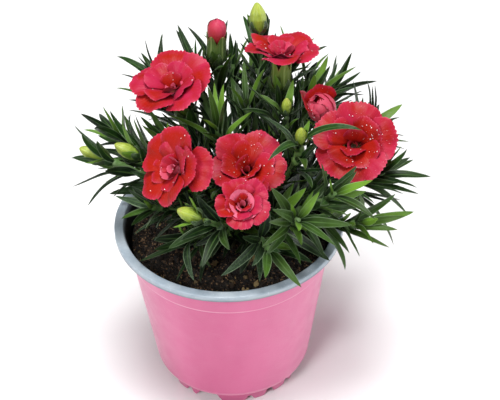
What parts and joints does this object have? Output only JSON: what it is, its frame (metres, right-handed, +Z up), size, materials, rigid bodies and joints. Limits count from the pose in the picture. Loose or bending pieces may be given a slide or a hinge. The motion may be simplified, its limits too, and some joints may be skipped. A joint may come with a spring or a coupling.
{
  "type": "potted dianthus plant",
  "caption": "Double-flowered dianthus with red fringed blooms, buds and narrow leaves on thin stems, growing in soil in a tapered round plastic pot with a wide rim.",
  "frame": {"origin": "on the surface that the pot stands on, at the centre of the flat foot in the middle of the pot's underside", "axes": "+Z up along the pot's axis, -Y towards the viewer's side with the lowest front blooms, +X to the right"},
  "size_m": [0.181, 0.169, 0.1968],
  "materials": {
    "pot_plastic": "satin, pink outside",
    "rim_plastic": "satin, blue-grey rim and inside",
    "soil": "matte, damp peat",
    "foliage": "satin, slightly waxy",
    "petals": "soft, velvety",
    "bud_green": "satin",
    "water": "clear beads"
  },
  "bodies": {
    "root": {"pot": "pot_plastic", "soil": "soil", "bloom_petals_01": "petals", "bloom_petals_02": "petals", "bloom_petals_03": "petals", "bloom_petals_04": "petals", "bloom_petals_05": "petals", "bloom_petals_06": "petals", "bloom_stem_01": "foliage", "bloom_stem_02": "foliage", "bloom_stem_03": "foliage", "bloom_stem_04": "foliage", "bloom_stem_05": "foliage", "bloom_stem_06": "foliage", "green_bud_stem_09": "foliage", "green_bud_stem_10": "foliage", "green_bud_stem_11": "foliage", "green_bud_stem_12": "foliage", "green_bud_stem_13": "foliage", "green_bud_stem_14": "foliage", "green_bud_stem_25": "foliage", "leafy_stem_15": "foliage", "leafy_stem_16": "foliage", "leafy_stem_17": "foliage", "leafy_stem_18": "foliage", "leafy_stem_19": "foliage", "leafy_stem_20": "foliage", "leafy_stem_21": "foliage", "leafy_stem_22": "foliage", "leafy_stem_23": "foliage", "leafy_stem_24": "foliage", "leafy_stem_26": "foliage", "leafy_stem_27": "foliage", "leafy_stem_28": "foliage", "leafy_stem_29": "foliage", "leafy_stem_30": "foliage", "leafy_stem_31": "foliage", "leafy_stem_32": "foliage", "leafy_stem_33": "foliage", "leafy_stem_34": "foliage", "leafy_stem_35": "foliage", "leafy_stem_36": "foliage", "leafy_stem_37": "foliage", "leafy_stem_38": "foliage", "opening_bud_petals_07": "petals", "opening_bud_stem_07": "foliage", "red_bud_petals_08": "petals", "red_bud_stem_08": "foliage"}
  },
  "joints": []
}
